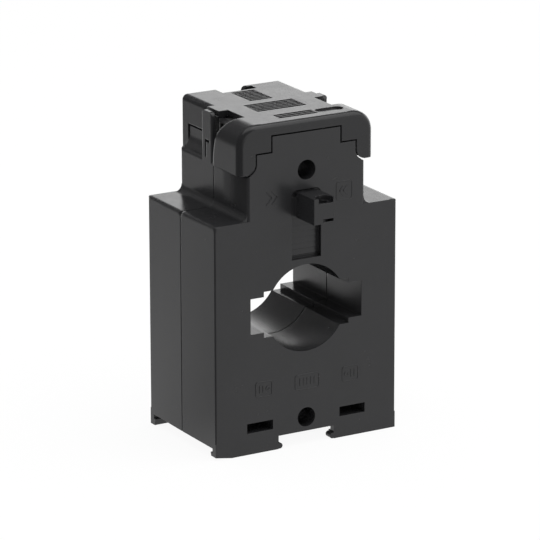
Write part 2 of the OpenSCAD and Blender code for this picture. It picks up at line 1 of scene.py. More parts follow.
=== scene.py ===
"""Looks of a moulded current transformer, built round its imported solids.

The solids are kept as they are and get their finishes here: satin moulded plastic, plated
steel, rolled brass, enamelled wire and foam. What is too fine for the solids is added as
surfaces worked out with numpy: the screws with their threads and cross recesses, the teeth
inside the wire cages and the raised mould marks on the front. A pale studio with a camera at
the photograph's angle closes the file.
"""

from __future__ import annotations

import logging
import math
from dataclasses import dataclass, field
from enum import Enum

import bmesh
import bpy
import numpy as np
from mathutils import Matrix, Vector

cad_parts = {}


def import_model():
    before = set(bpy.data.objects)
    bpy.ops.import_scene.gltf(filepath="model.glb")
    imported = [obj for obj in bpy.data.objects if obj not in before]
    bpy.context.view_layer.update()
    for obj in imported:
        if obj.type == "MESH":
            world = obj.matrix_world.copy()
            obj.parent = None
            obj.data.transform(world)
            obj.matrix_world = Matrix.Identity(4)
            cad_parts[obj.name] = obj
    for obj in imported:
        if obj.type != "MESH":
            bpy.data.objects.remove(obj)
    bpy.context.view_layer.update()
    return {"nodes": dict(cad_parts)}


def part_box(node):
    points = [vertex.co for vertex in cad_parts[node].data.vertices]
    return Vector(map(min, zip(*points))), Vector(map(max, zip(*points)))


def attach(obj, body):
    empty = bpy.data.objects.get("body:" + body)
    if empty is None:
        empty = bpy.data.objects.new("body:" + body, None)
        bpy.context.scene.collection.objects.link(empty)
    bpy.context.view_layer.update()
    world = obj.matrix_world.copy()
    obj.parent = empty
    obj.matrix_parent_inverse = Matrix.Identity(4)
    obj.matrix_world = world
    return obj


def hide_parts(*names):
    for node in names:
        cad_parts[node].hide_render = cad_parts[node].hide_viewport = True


LOG = logging.getLogger("current_transformer")
MM = 0.001
WINDOW_AXIS_Z = 48.2 * MM
EDGE_SAMPLES = 6
WHITE = (1.0, 1.0, 1.0, 1.0)
Colour = tuple[float, float, float]
Point = tuple[float, float, float]
Span = tuple[float, float]


class Socket:
    """An output of a shader graph that takes part in Python arithmetic.

    Every operator adds one Math node to the graph and returns its result.
    """

    def __init__(self, graph: "Graph", output: bpy.types.NodeSocket) -> None:
        """Wrap an output.

        Args:
            graph: The graph that the output belongs to.
            output: The output itself.
        """
        self.graph = graph
        self.output = output

    def __add__(self, other: "Value") -> "Socket":
        """Sum of two values."""
        return self.graph.math("ADD", self, other)

    def __radd__(self, other: "Value") -> "Socket":
        """Sum of two values, reflected."""
        return self.graph.math("ADD", other, self)

    def __sub__(self, other: "Value") -> "Socket":
        """Difference of two values."""
        return self.graph.math("SUBTRACT", self, other)

    def __rsub__(self, other: "Value") -> "Socket":
        """Difference of two values, reflected."""
        return self.graph.math("SUBTRACT", other, self)

    def __mul__(self, other: "Value") -> "Socket":
        """Product of two values."""
        return self.graph.math("MULTIPLY", self, other)


Value = float | Socket


class Graph:
    """The node tree of one material or of the world."""

    def __init__(self, tree: bpy.types.NodeTree) -> None:
        """Empty the tree.

        Args:
            tree: The node tree to build in.
        """
        self.tree = tree
        self.tree.nodes.clear()

    def node(self, kind: str, settings: dict | None = None, inputs: dict | None = None,
             output: int | str = 0) -> Socket | None:
        """Add a node.

        Args:
            kind: The node's type name.
            settings: Properties that are set before the sockets.
            inputs: Values or sockets by the input's name or number.
            output: The name or number of the output to return.

        Returns:
            The chosen output, or None for a node without outputs.
        """
        made = self.tree.nodes.new(kind)
        for name, value in (settings or {}).items():
            setattr(made, name, value)
        for name, value in (inputs or {}).items():
            if isinstance(value, Socket):
                self.tree.links.new(value.output, made.inputs[name])
            else:
                made.inputs[name].default_value = value
        return Socket(self, made.outputs[output]) if made.outputs else None

    def math(self, operation: str, *values: Value) -> Socket:
        """Add a Math node that works on one, two or three values."""
        return self.node("ShaderNodeMath", {"operation": operation}, dict(enumerate(values)))

    def clamp(self, value: Socket, low: float, high: float) -> Socket:
        """Keep a value between two limits."""
        return self.math("MINIMUM", self.math("MAXIMUM", value, low), high)

    def step(self, value: Socket, low: float, high: float) -> Socket:
        """Go smoothly from 0 below low to 1 above high."""
        return self.node("ShaderNodeMapRange", {"interpolation_type": "SMOOTHSTEP"},
                         {"Value": value, "From Min": low, "From Max": high})

    def mix(self, factor: Value, first: Colour | Socket, second: Colour | Socket) -> Socket:
        """Mix two colours.

        Args:
            factor: Share of the second colour.
            first: The first colour.
            second: The second colour.

        Returns:
            The mixed colour.
        """
        made = self.tree.nodes.new("ShaderNodeMix")
        made.data_type = "RGBA"
        factor_input, first_input, second_input, result = 0, 6, 7, 2
        for place, value in ((factor_input, factor), (first_input, first),
                             (second_input, second)):
            if isinstance(value, Socket):
                self.tree.links.new(value.output, made.inputs[place])
            elif place == factor_input:
                made.inputs[place].default_value = value
            else:
                made.inputs[place].default_value = (*value, 1.0)
        return Socket(self, made.outputs[result])

    def mix_normals(self, share: Socket, first: Socket, second: Socket) -> Socket:
        """Mix two normals.

        Args:
            share: Share of the second normal.
            first: The first normal.
            second: The second normal.

        Returns:
            The mixed normal.
        """
        factor_input, first_input, second_input, result = 0, 4, 5, 1
        return self.node("ShaderNodeMix", {"data_type": "VECTOR"}, {
            factor_input: share, first_input: first, second_input: second}, result)

    def place(self) -> Socket:
        """Object coordinates, in metres."""
        return self.node("ShaderNodeTexCoord", output="Object")

    def axis(self, name: str, where: Socket | None = None) -> Socket:
        """Coordinate X, Y or Z of a place, or of the object's own place."""
        return self.node("ShaderNodeSeparateXYZ", {}, {"Vector": where or self.place()}, name)

    def about_window(self) -> tuple[Socket, Socket]:
        """Coordinates across and above the window's axis."""
        return self.axis("X"), self.axis("Z") - WINDOW_AXIS_Z

    def length(self, first: Socket, second: Socket) -> Socket:
        """Length of a vector with two coordinates: the root of the sum of their squares."""
        return self.math("SQRT", first * first + second * second)

    def noise(self, size: float, detail: float = 2.0, rough: float = 0.5,
              where: Socket | None = None) -> Socket:
        """Smooth noise from 0 to 1.

        Args:
            size: Width of one blotch in metres.
            detail: Number of finer octaves.
            rough: Share of each finer octave.
            where: Coordinates, or None for the object's own.

        Returns:
            The noise value.
        """
        return self.node("ShaderNodeTexNoise", {}, {
            "Vector": where or self.place(), "Scale": 1.0 / size,
            "Detail": detail, "Roughness": rough})

    def cells(self, size: float) -> Socket:
        """Distance to the nearest of many scattered points, about size apart."""
        return self.node("ShaderNodeTexVoronoi", {}, {
            "Vector": self.place(), "Scale": 1 / size}, "Distance")

    def soft_edges(self, radius: float) -> Socket:
        """Normal that rounds every edge by a radius in metres."""
        return self.node("ShaderNodeBevel", {"samples": EDGE_SAMPLES}, {"Radius": radius})

    def bump(self, height: Socket, depth: float, normal: Socket) -> Socket:
        """Normal of a relief.

        Args:
            height: Relief from 0 to 1.
            depth: Height of the relief in metres.
            normal: The normal that the relief stands on.

        Returns:
            The bent normal.
        """
        return self.node("ShaderNodeBump", {}, {
            "Height": height, "Distance": depth, "Strength": 1.0, "Normal": normal})

    def surface(self, **inputs: object) -> None:
        """Close the material with a Principled shader.

        Args:
            **inputs: The shader's inputs, with underscores for blanks in their names.
        """
        named = {}
        for name, value in inputs.items():
            socket_name = "IOR" if name == "ior" else name.replace("_", " ").title()
            is_plain_colour = isinstance(value, tuple) and len(value) == 3
            named[socket_name] = (*value, 1.0) if is_plain_colour else value
        shader = self.node("ShaderNodeBsdfPrincipled", {}, named)
        self.node("ShaderNodeOutputMaterial", {}, {"Surface": shader})


@dataclass(frozen=True)
class Finish:
    """What a surface is made of. Each kind fills its own shader graph."""

    name: str
    colour: Colour

    def material(self) -> bpy.types.Material:
        """Make the material.

        Returns:
            The Blender material, with its graph filled.
        """
        made = bpy.data.materials.new(self.name)
        made.use_nodes = True
        self.fill(Graph(made.node_tree))
        return made

    def shade(self, share: float) -> Colour:
        """The finish's colour with every channel multiplied by a share."""
        return tuple(channel * share for channel in self.colour)

    def fill(self, graph: Graph) -> None:
        """Build the shader.

        Args:
            graph: The empty graph of the material.
        """
        raise NotImplementedError


@dataclass(frozen=True)
class MouldedPlastic(Finish):
    """Satin moulded plastic with a fine spark-eroded grain and soft edges."""

    roughness: float = 0.25
    grain: float = 0.22 * MM
    grain_depth: float = 0.0018 * MM
    edge: float = 0.35 * MM
    unevenness: float = 0.14
    cloud: float = 14 * MM
    cloud_gloss: float = 0.05
    mark: float = 3.2 * MM
    mark_gloss: float = 0.1
    fleck: float = 0.45 * MM
    fleck_from: Span = (0.7, 0.78)
    fleck_share: float = 0.12
    fleck_colour: Colour = (0.12, 0.12, 0.12)
    gloss_limits: Span = (0.12, 0.9)
    ior: float = 1.52

    def fill(self, graph: Graph) -> None:
        """Clouds tint the colour, handling marks vary the gloss and grain bends the light.

        Args:
            graph: The empty graph of the material.
        """
        clouds = graph.noise(self.cloud, detail=3.0)
        marks = graph.noise(self.mark, detail=4.0, rough=0.6)
        grain = graph.noise(self.grain, rough=0.6)
        flecks = graph.step(graph.noise(self.fleck, detail=1.0), *self.fleck_from)
        tint = graph.mix(clouds, self.shade(1 - self.unevenness), self.shade(1 + self.unevenness))
        tint = graph.mix(flecks * self.fleck_share, tint, self.fleck_colour)
        gloss = (self.roughness + (marks - 0.5) * self.mark_gloss
                 + (clouds - 0.5) * self.cloud_gloss)
        normal = graph.bump(grain, self.grain_depth, self.relief(graph))
        graph.surface(base_color=tint, roughness=graph.clamp(gloss, *self.gloss_limits),
                      normal=normal, ior=self.ior)

    def relief(self, graph: Graph) -> Socket:
        """Normal of the piece with its edges softened."""
        return graph.soft_edges(self.edge)


@dataclass(frozen=True)
class CoverPlastic(MouldedPlastic):
    """The cover's plastic, with rounder edges on its sides than between its grips."""

    side_edge: float = 0.8 * MM
    side_x: float = 20.0 * MM

    def relief(self, graph: Graph) -> Socket:
        """Crisp edges in the middle, and rounder ones from side_x outwards.

        Args:
            graph: The material's graph.

        Returns:
            The normal.
        """
        width = graph.math("ABSOLUTE", graph.axis("X"))
        sides = graph.step(width, self.side_x, self.side_x + MM)
        return graph.mix_normals(sides, graph.soft_edges(self.edge),
                                 graph.soft_edges(self.side_edge))


@dataclass(frozen=True)
class HousingPlastic(MouldedPlastic):
    """The housing's plastic, with rounder shoulders and hollowed neck corners.

    Values that end in _x and _z are places where a zone begins or ends softly. Those of the
    hollow's fades and its corner are distances towards the front from hollow_y.
    """

    shoulder_edge: float = 1.35 * MM
    shoulder_x: Span = (32.5 * MM, 33.5 * MM)
    shoulder_z: Span = (79.0 * MM, 80.0 * MM)
    neck_from_x: Span = (21.9 * MM, 22.4 * MM)
    neck_to_x: Span = (23 * MM, 24 * MM)
    hollow_y: float = -11.2 * MM
    hollow_from_z: Span = (83.2 * MM, 84.7 * MM)
    hollow_to_z: Span = (96.4 * MM, 96.8 * MM)
    first_fade: Span = (-6 * MM, -2.5 * MM)
    first_bend: float = 0.13
    second_fade: Span = (-2.5 * MM, 3.5 * MM)
    second_bend: float = 0.09
    corner_from: float = 2.5 * MM
    corner_bend_a_metre: float = 1.1 / (8.5 * MM)
    corner_edge_from: Span = (5 * MM, 6 * MM)
    window_radius: Span = (15.5 * MM, 15.8 * MM)
    window_flat: float = 0.42
    window_lean: float = 0.015

    def relief(self, graph: Graph) -> Socket:
        """Normal with rounder shoulders, a hollow under each cover leg and a flatter window.

        The hollow bends the normal of the neck's sides towards the front, a little where it
        starts and strongly at the corner, as on a column set back into the wall. In the round
        part of the window the normal's share across is lessened, and it leans to the rear.

        Args:
            graph: The material's graph.

        Returns:
            The normal.
        """
        width = graph.math("ABSOLUTE", graph.axis("X"))
        height = graph.axis("Z")
        on_shoulder = graph.step(width, *self.shoulder_x) * graph.step(height, *self.shoulder_z)
        beside = graph.step(width, *self.neck_from_x) * (1 - graph.step(width, *self.neck_to_x))
        between = (graph.step(height, *self.hollow_from_z)
                   * (1 - graph.step(height, *self.hollow_to_z)))
        forward = self.hollow_y - graph.axis("Y")
        at_corner = beside * between * graph.step(forward, *self.corner_edge_from)
        edges = graph.mix_normals(graph.math("MAXIMUM", on_shoulder, at_corner),
                                  graph.soft_edges(self.edge),
                                  graph.soft_edges(self.shoulder_edge))
        fading = (graph.step(forward, *self.first_fade) * self.first_bend
                  + graph.step(forward, *self.second_fade) * self.second_bend)
        corner = (graph.math("MAXIMUM", forward - self.corner_from, 0.0)
                  * self.corner_bend_a_metre)
        from_axis = graph.length(*graph.about_window())
        in_window = 1 - graph.step(from_axis, *self.window_radius)
        turned = graph.node("ShaderNodeCombineXYZ", {}, {
            "X": 0.0 - graph.axis("X", edges) * in_window * self.window_flat,
            "Y": in_window * self.window_lean - (fading + corner) * beside * between})
        return graph.node("ShaderNodeVectorMath", {"operation": "NORMALIZE"}, {
            0: graph.node("ShaderNodeVectorMath", {"operation": "ADD"}, {0: edges, 1: turned})})


@dataclass(frozen=True)
class PlatedSteel(Finish):
    """Zinc-plated steel with fine drawing lines along one axis."""

    roughness: float = 0.28
    edge: float = 0.12 * MM
    line_length: float = 6 * MM
    line_width: float = 0.09 * MM
    line_depth: float = 0.003 * MM
    cloud: float = 1.6 * MM
    cloud_shade: float = 0.78
    cloud_gloss: float = 0.16
    gloss_limits: Span = (0.1, 0.8)

    def fill(self, graph: Graph) -> None:
        """Stretched noise gives the drawing lines, and broad noise clouds the plating.

        Args:
            graph: The empty graph of the material.
        """
        stretch = self.line_width / self.line_length
        drawn = graph.node("ShaderNodeMapping", {}, {
            "Vector": graph.place(), "Scale": (1.0, stretch, 1.0)})
        lines = graph.noise(self.line_width, where=drawn)
        clouds = graph.noise(self.cloud, detail=3.0)
        gloss = self.roughness + (clouds - 0.5) * self.cloud_gloss
        graph.surface(base_color=graph.mix(clouds, self.shade(self.cloud_shade), self.colour),
                      metallic=1.0, roughness=graph.clamp(gloss, *self.gloss_limits),
                      normal=graph.bump(lines, self.line_depth, graph.soft_edges(self.edge)))


@dataclass(frozen=True)
class RolledBrass(Finish):
    """Punched brass strip with a dull rolled face and a few darker stains."""

    roughness: float = 0.32
    edge: float = 0.12 * MM
    line_stretch: float = 0.03
    line_width: float = 0.12 * MM
    line_depth: float = 0.002 * MM
    stain: float = 2.4 * MM
    stain_from: Span = (0.45, 0.75)
    stain_shade: float = 0.6
    stain_gloss: float = 0.18

    def fill(self, graph: Graph) -> None:
        """Rolling lines run up the strip, and stains darken and dull it.

        Args:
            graph: The empty graph of the material.
        """
        rolled = graph.node("ShaderNodeMapping", {}, {
            "Vector": graph.place(), "Scale": (1.0, 1.0, self.line_stretch)})
        lines = graph.noise(self.line_width, where=rolled)
        stains = graph.step(graph.noise(self.stain, detail=4.0), *self.stain_from)
        graph.surface(base_color=graph.mix(stains, self.colour, self.shade(self.stain_shade)),
                      metallic=1.0, roughness=self.roughness + stains * self.stain_gloss,
                      normal=graph.bump(lines, self.line_depth, graph.soft_edges(self.edge)))


@dataclass(frozen=True)
class SoftSleeve(Finish):
    """Extruded wire insulation or natural nylon, smooth with a faint waviness."""

    roughness: float = 0.45
    edge: float = 0.2 * MM
    wave: float = 1.8 * MM
    wave_depth: float = 0.02 * MM
    wave_shade: float = 0.86
    wave_gloss: float = 0.1

    def fill(self, graph: Graph) -> None:
        """Slow waves bend the light, tint the colour and vary the gloss.

        Args:
            graph: The empty graph of the material.
        """
        waves = graph.noise(self.wave)
        graph.surface(base_color=graph.mix(waves, self.shade(self.wave_shade), self.colour),
                      roughness=self.roughness + (waves - 0.5) * self.wave_gloss,
                      normal=graph.bump(waves, self.wave_depth, graph.soft_edges(self.edge)))


@dataclass(frozen=True)
class WoundStrip(Finish):
    """Steel strip wound into a roll, whose turns show as rings about the window's axis."""

    roughness: float = 0.34
    edge: float = 0.1 * MM
    turn: float = 0.3 * MM
    turn_depth: float = 0.02 * MM
    turn_shade: float = 0.55
    turn_gloss: float = 0.1

    def fill(self, graph: Graph) -> None:
        """A wave of the distance from the axis shows the turns.

        Args:
            graph: The empty graph of the material.
        """
        radius = graph.length(*graph.about_window())
        turns = graph.math("SINE", radius * (2 * math.pi / self.turn)) * 0.5 + 0.5
        graph.surface(base_color=graph.mix(turns, self.shade(self.turn_shade), self.colour),
                      metallic=1.0, roughness=self.roughness + turns * self.turn_gloss,
                      normal=graph.bump(turns, self.turn_depth, graph.soft_edges(self.edge)))


@dataclass(frozen=True)
class EnamelledWire(Finish):
    """Copper wire under clear enamel, its turns lying side by side along each bundle."""

    roughness: float = 0.3
    edge: float = 0.2 * MM
    bundle_radius: float = 32 * MM
    wire: float = 0.5 * MM
    wire_depth: float = 0.2 * MM
    painted_gap_shade: float = 0.4
    gap_gloss: float = 0.2
    enamel: float = 0.6

    def fill(self, graph: Graph) -> None:
        """A wave of the angle about the window's axis lays the turns round the ring, and painted
        shade darkens the colour in the grooves between the turns.

        Args:
            graph: The empty graph of the material.
        """
        across, above = graph.about_window()
        turns_round = 2 * math.pi * self.bundle_radius / self.wire
        angle = graph.math("ARCTAN2", above, across)
        wires = graph.math("ABSOLUTE", graph.math("SINE", angle * (turns_round / 2)))
        # painted shade: the colour is darkest in the grooves between the turns, where shade falls
        graph.surface(base_color=graph.mix(wires, self.shade(self.painted_gap_shade), self.colour),
                      metallic=1.0, roughness=self.roughness + (1 - wires) * self.gap_gloss,
                      normal=graph.bump(wires, self.wire_depth, graph.soft_edges(self.edge)),
                      coat_weight=self.enamel)


@dataclass(frozen=True)
class ClosedFoam(Finish):
    """Foam sheet with small closed cells."""

    roughness: float = 0.85
    edge: float = 0.4 * MM
    cell: float = 0.5 * MM
    cell_depth: float = 0.15 * MM
    cell_shade: float = 0.6

    def fill(self, graph: Graph) -> None:
        """Cells dimple the surface and darken their rims.

        Args:
            graph: The empty graph of the material.
        """
        cells = graph.cells(self.cell)
        graph.surface(base_color=graph.mix(cells, self.colour, self.shade(self.cell_shade)),
                      roughness=self.roughness,
                      normal=graph.bump(cells, self.cell_depth, graph.soft_edges(self.edge)))


class Look(Enum):
    """The finishes of this object, each with its own recipe."""

    # The front half's colour is a little darker than the rear half's: painted shade, for the
    # darker front part of the housing's sides.
    FRONT_HALF = HousingPlastic("front_half_plastic", (0.023, 0.023, 0.0245), edge=0.2 * MM)
    REAR_HALF = HousingPlastic("rear_half_plastic", (0.026, 0.026, 0.0275), edge=0.3 * MM)
    COVER = CoverPlastic("cover_plastic", (0.016, 0.016, 0.0172), edge=0.3 * MM)
    BRACKET = MouldedPlastic("bracket_plastic", (0.021, 0.021, 0.0225), edge=0.3 * MM)
    INSERT = MouldedPlastic("insert_plastic", (0.016, 0.016, 0.017), roughness=0.3)
    SCREW = PlatedSteel("screw_plate", (0.74, 0.74, 0.76))
    CAGE = PlatedSteel("cage_plate", (0.66, 0.66, 0.67), roughness=0.36)
    BAR = RolledBrass("bar_brass", (0.80, 0.60, 0.28))
    SLEEVE = SoftSleeve("lead_sleeve", (0.80, 0.79, 0.76))
    CUP = SoftSleeve("cup_nylon", (0.78, 0.74, 0.64), roughness=0.5)
    STRIP = WoundStrip("core_strip", (0.50, 0.51, 0.54))
    WIRE = EnamelledWire("winding_wire", (0.78, 0.36, 0.14))
    TAPE = SoftSleeve("winding_tape_film", (0.78, 0.62, 0.20), roughness=0.3)
    FOAM = ClosedFoam("pad_foam", (0.10, 0.11, 0.12))


MATERIALS: dict[Look, bpy.types.Material] = {}


def finish_of(look: Look) -> bpy.types.Material:
    """Material of a look, made the first time that it is asked for.

    Args:
        look: The look.

    Returns:
        The Blender material.
    """
    if look not in MATERIALS:
        MATERIALS[look] = look.value.material()
    return MATERIALS[look]


def dress(piece: bpy.types.Object, look: Look) -> None:
    """Give a piece one look all over.

    Args:
        piece: The mesh object.
        look: The look.
    """
    piece.data.materials.clear()
    piece.data.materials.append(finish_of(look))


@dataclass
class MeshParts:
    """Vertices and faces gathered from several surfaces, in metres."""

    vertices: list[np.ndarray] = field(default_factory=list)
    faces: list[np.ndarray] = field(default_factory=list)
    count: int = 0

    def add_grid(self, points: np.ndarray, wrap_columns: bool = False) -> None:
        """Add a surface that is a grid of points.

        Args:
            points: Array of rows by columns by 3.
            wrap_columns: Whether the last column joins the first.
        """
        rows, columns = points.shape[:2]
        last = columns if wrap_columns else columns - 1
        row, column = np.meshgrid(np.arange(rows - 1), np.arange(last), indexing="ij")
        following = (column + 1) % columns
        corners = [row * columns + column, row * columns + following,
                   (row + 1) * columns + following, (row + 1) * columns + column]
        self.vertices.append(points.reshape(-1, 3))
        self.faces.append(np.stack(corners, axis=-1).reshape(-1, 4) + self.count)
        self.count += rows * columns

    def build(self, name: str, smooth: bool = True) -> bpy.types.Object:
        """Make one closed mesh object of everything gathered.

        Args:
            name: The object's name.
            smooth: Whether faces are shaded smooth.

        Returns:
            The object, at the origin with its place in its mesh.
        """
        mesh = bpy.data.meshes.new(name)
        vertices = np.concatenate(self.vertices)
        faces = np.concatenate(self.faces)
        mesh.from_pydata(vertices.tolist(), [], faces.tolist())
        work = bmesh.new()
        work.from_mesh(mesh)
        bmesh.ops.remove_doubles(work, verts=work.verts, dist=1e-7)
        bmesh.ops.dissolve_degenerate(work, edges=work.edges, dist=1e-7)
        bmesh.ops.recalc_face_normals(work, faces=work.faces)
        work.to_mesh(mesh)
        work.free()
        mesh.polygons.foreach_set("use_smooth", np.full(len(mesh.polygons), smooth))
        mesh.update()
        made = bpy.data.objects.new(name, mesh)
        bpy.context.scene.collection.objects.link(made)
        return made


def smooth_step(value: np.ndarray, low: float, high: float) -> np.ndarray:
    """Array version of a smooth step: 3 t^2 - 2 t^3 of the clipped share t."""
    share = np.clip((value - low) / (high - low), 0, 1)
    return share * share * (3 - 2 * share)


@dataclass
class RecessedScrew:
    """A screw along Y with a domed head, a cross recess and a threaded shank.

    The whole screw is one surface of revolution, bent by two rules. On the head's face the
    depth of the cross is added, and on the shank the radius follows the thread. The dome is
    a share of the head's height, and the thread's values are shares of the pitch.
    """

    name: str
    node: str
    body: str
    head_radius: float
    head_height: float
    shank_radius: float
    pitch: float
    thread_from: float
    recess_arm: float
    recess_width: float
    recess_depth: float
    recess_slope: float = 0.22 * MM
    dome: float = 0.12
    thread_depth: float = 0.61
    crest: float = 0.2
    flank: float = 0.75
    run_out: float = 0.4
    point_length: float = 0.5
    point_depth: float = 0.35
    columns: int = 96
    face_rows: int = 30
    rim_rows: int = 6
    rows_a_turn: int = 14

    def thread(self, along: np.ndarray, angle: np.ndarray, end: float) -> np.ndarray:
        """Depth of the thread, from 0 on its crest to the full depth at its root.

        The phase along / pitch - angle / 2 pi makes the helix, its distance from the nearest
        half turn makes the V, and the crest is kept flat over a fifth of the pitch.

        Args:
            along: Distance from the head's seat.
            angle: Angle about the screw's axis.
            end: Distance of the tip from the seat.

        Returns:
            The depth to take off the radius.
        """
        phase = along / self.pitch - angle / (2 * np.pi)
        valley = 1 - 2 * np.abs(phase - np.round(phase))
        depth = self.thread_depth * self.pitch * np.clip((valley - self.crest) / self.flank, 0, 1)
        starts = smooth_step(along, self.thread_from, self.thread_from + self.pitch)
        ends = 1 - smooth_step(along, end - self.run_out * self.pitch, end)
        return depth * starts * ends

    def recess(self, across: np.ndarray, up: np.ndarray) -> np.ndarray:
        """Depth of the cross recess: the deeper of two arms with sloping walls.

        Args:
            across: First coordinate on the head's face.
            up: Second coordinate on the head's face.

        Returns:
            The depth at each point.
        """
        wall = self.recess_slope / 2
        half = self.recess_width / 2
        depths = []
        for along, side in ((np.abs(across), np.abs(up)), (np.abs(up), np.abs(across))):
            in_arm = 1 - smooth_step(side, half - wall, half + wall)
            in_reach = 1 - smooth_step(along, self.recess_arm - 4 * wall, self.recess_arm)
            depths.append(in_arm * in_reach)
        return self.recess_depth * np.maximum(*depths)

    def build(self) -> bpy.types.Object:
        """Make the screw in the place of its solid.

        Returns:
            The finished piece.
        """
        low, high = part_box(self.node)
        centre_x, centre_z = (low.x + high.x) / 2, (low.z + high.z) / 2
        face_y, tip_y = low.y, high.y
        seat_y = face_y + self.head_height
        dome = self.dome * self.head_height
        angle = np.linspace(0, 2 * np.pi, self.columns, endpoint=False)

        face_radius = np.linspace(0, self.head_radius - dome, self.face_rows)
        radius, turn = np.meshgrid(face_radius, angle, indexing="ij")
        depth = self.recess(radius * np.cos(turn), radius * np.sin(turn))
        crown = dome * (radius / self.head_radius) ** 2
        face = (radius, turn, face_y + crown + depth)

        bend = np.linspace(0, np.pi / 2, self.rim_rows)[1:]
        edge_radius = self.head_radius - dome + dome * np.sin(bend)
        edge_y = face_y + 2 * dome - dome * np.cos(bend)
        rim_radius = np.concatenate([edge_radius, [self.head_radius, self.shank_radius]])
        rim_y = np.concatenate([edge_y, [seat_y, seat_y]])
        radius, turn = np.meshgrid(rim_radius, angle, indexing="ij")
        rim = (radius, turn, np.repeat(rim_y[:, None], self.columns, axis=1))

        length = tip_y - seat_y
        steps = max(8, int(length / self.pitch * self.rows_a_turn))
        along, turn = np.meshgrid(np.linspace(0, length, steps + 1)[1:], angle, indexing="ij")
        point = smooth_step(along, length - self.point_length * self.pitch, length)
        point = point * self.point_depth * self.pitch
        radius = self.shank_radius - self.thread(along, turn, length) - point
        shank = (radius, turn, seat_y + along)

        radius, turn = np.meshgrid([0.0], angle, indexing="ij")
        tip = (radius, turn, np.full_like(radius, tip_y))

        radius, turn, place_y = (
            np.concatenate(rows) for rows in zip(face, rim, shank, tip))
        points = np.stack([centre_x + radius * np.cos(turn), place_y,
                           centre_z + radius * np.sin(turn)], axis=-1)
        parts = MeshParts()
        parts.add_grid(points, wrap_columns=True)
        piece = parts.build(self.name)
        dress(piece, Look.SCREW)
        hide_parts(self.node)
        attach(piece, self.body)
        return piece


@dataclass
class Stroke:
    """A raised line of a mould mark on the front face: points in millimetres, X and Z."""

    points: list[tuple[float, float]]
    closed: bool = False


def rounded_frame(width: float, height: float, radius: float = 0.9) -> Stroke:
    """Closed frame with round corners, centred on zero.

    Each corner is a quarter circle, and the straight sides join them.

    Args:
        width: Outer width in millimetres.
        height: Outer height in millimetres.
        radius: Corner radius in millimetres.

    Returns:
        The stroke.
    """
    corner_x, corner_z = width / 2 - radius, height / 2 - radius
    angles = np.linspace(0, np.pi / 2, 7)
    loop = []
    for index, (sign_x, sign_z) in enumerate(((1, 1), (-1, 1), (-1, -1), (1, -1))):
        turn = angles + index * np.pi / 2
        loop += list(zip(sign_x * corner_x + radius * np.cos(turn),
                         sign_z * corner_z + radius * np.sin(turn)))
    return Stroke(loop, closed=True)


def ring_stroke(x: float, radius: float = 0.65, points: int = 28) -> Stroke:
    """Closed circle at x on the mark's middle line, in millimetres."""
    turn = np.linspace(0, 2 * np.pi, points, endpoint=False)
    return Stroke(list(zip(x + radius * np.cos(turn), radius * np.sin(turn))), closed=True)


def bars(*places: float, half: float = 1.4) -> list[Stroke]:
    """Upright bars across the mark's middle line, each at its x, in millimetres."""
    return [Stroke([(x, -half), (x, half)]) for x in places]


def arrow_head(open_x: float, tip_x: float, half: float) -> Stroke:
    """Two slanting lines that meet at the tip on the mark's middle line, in millimetres."""
    return Stroke([(open_x, half), (tip_x, 0.0), (open_x, -half)])


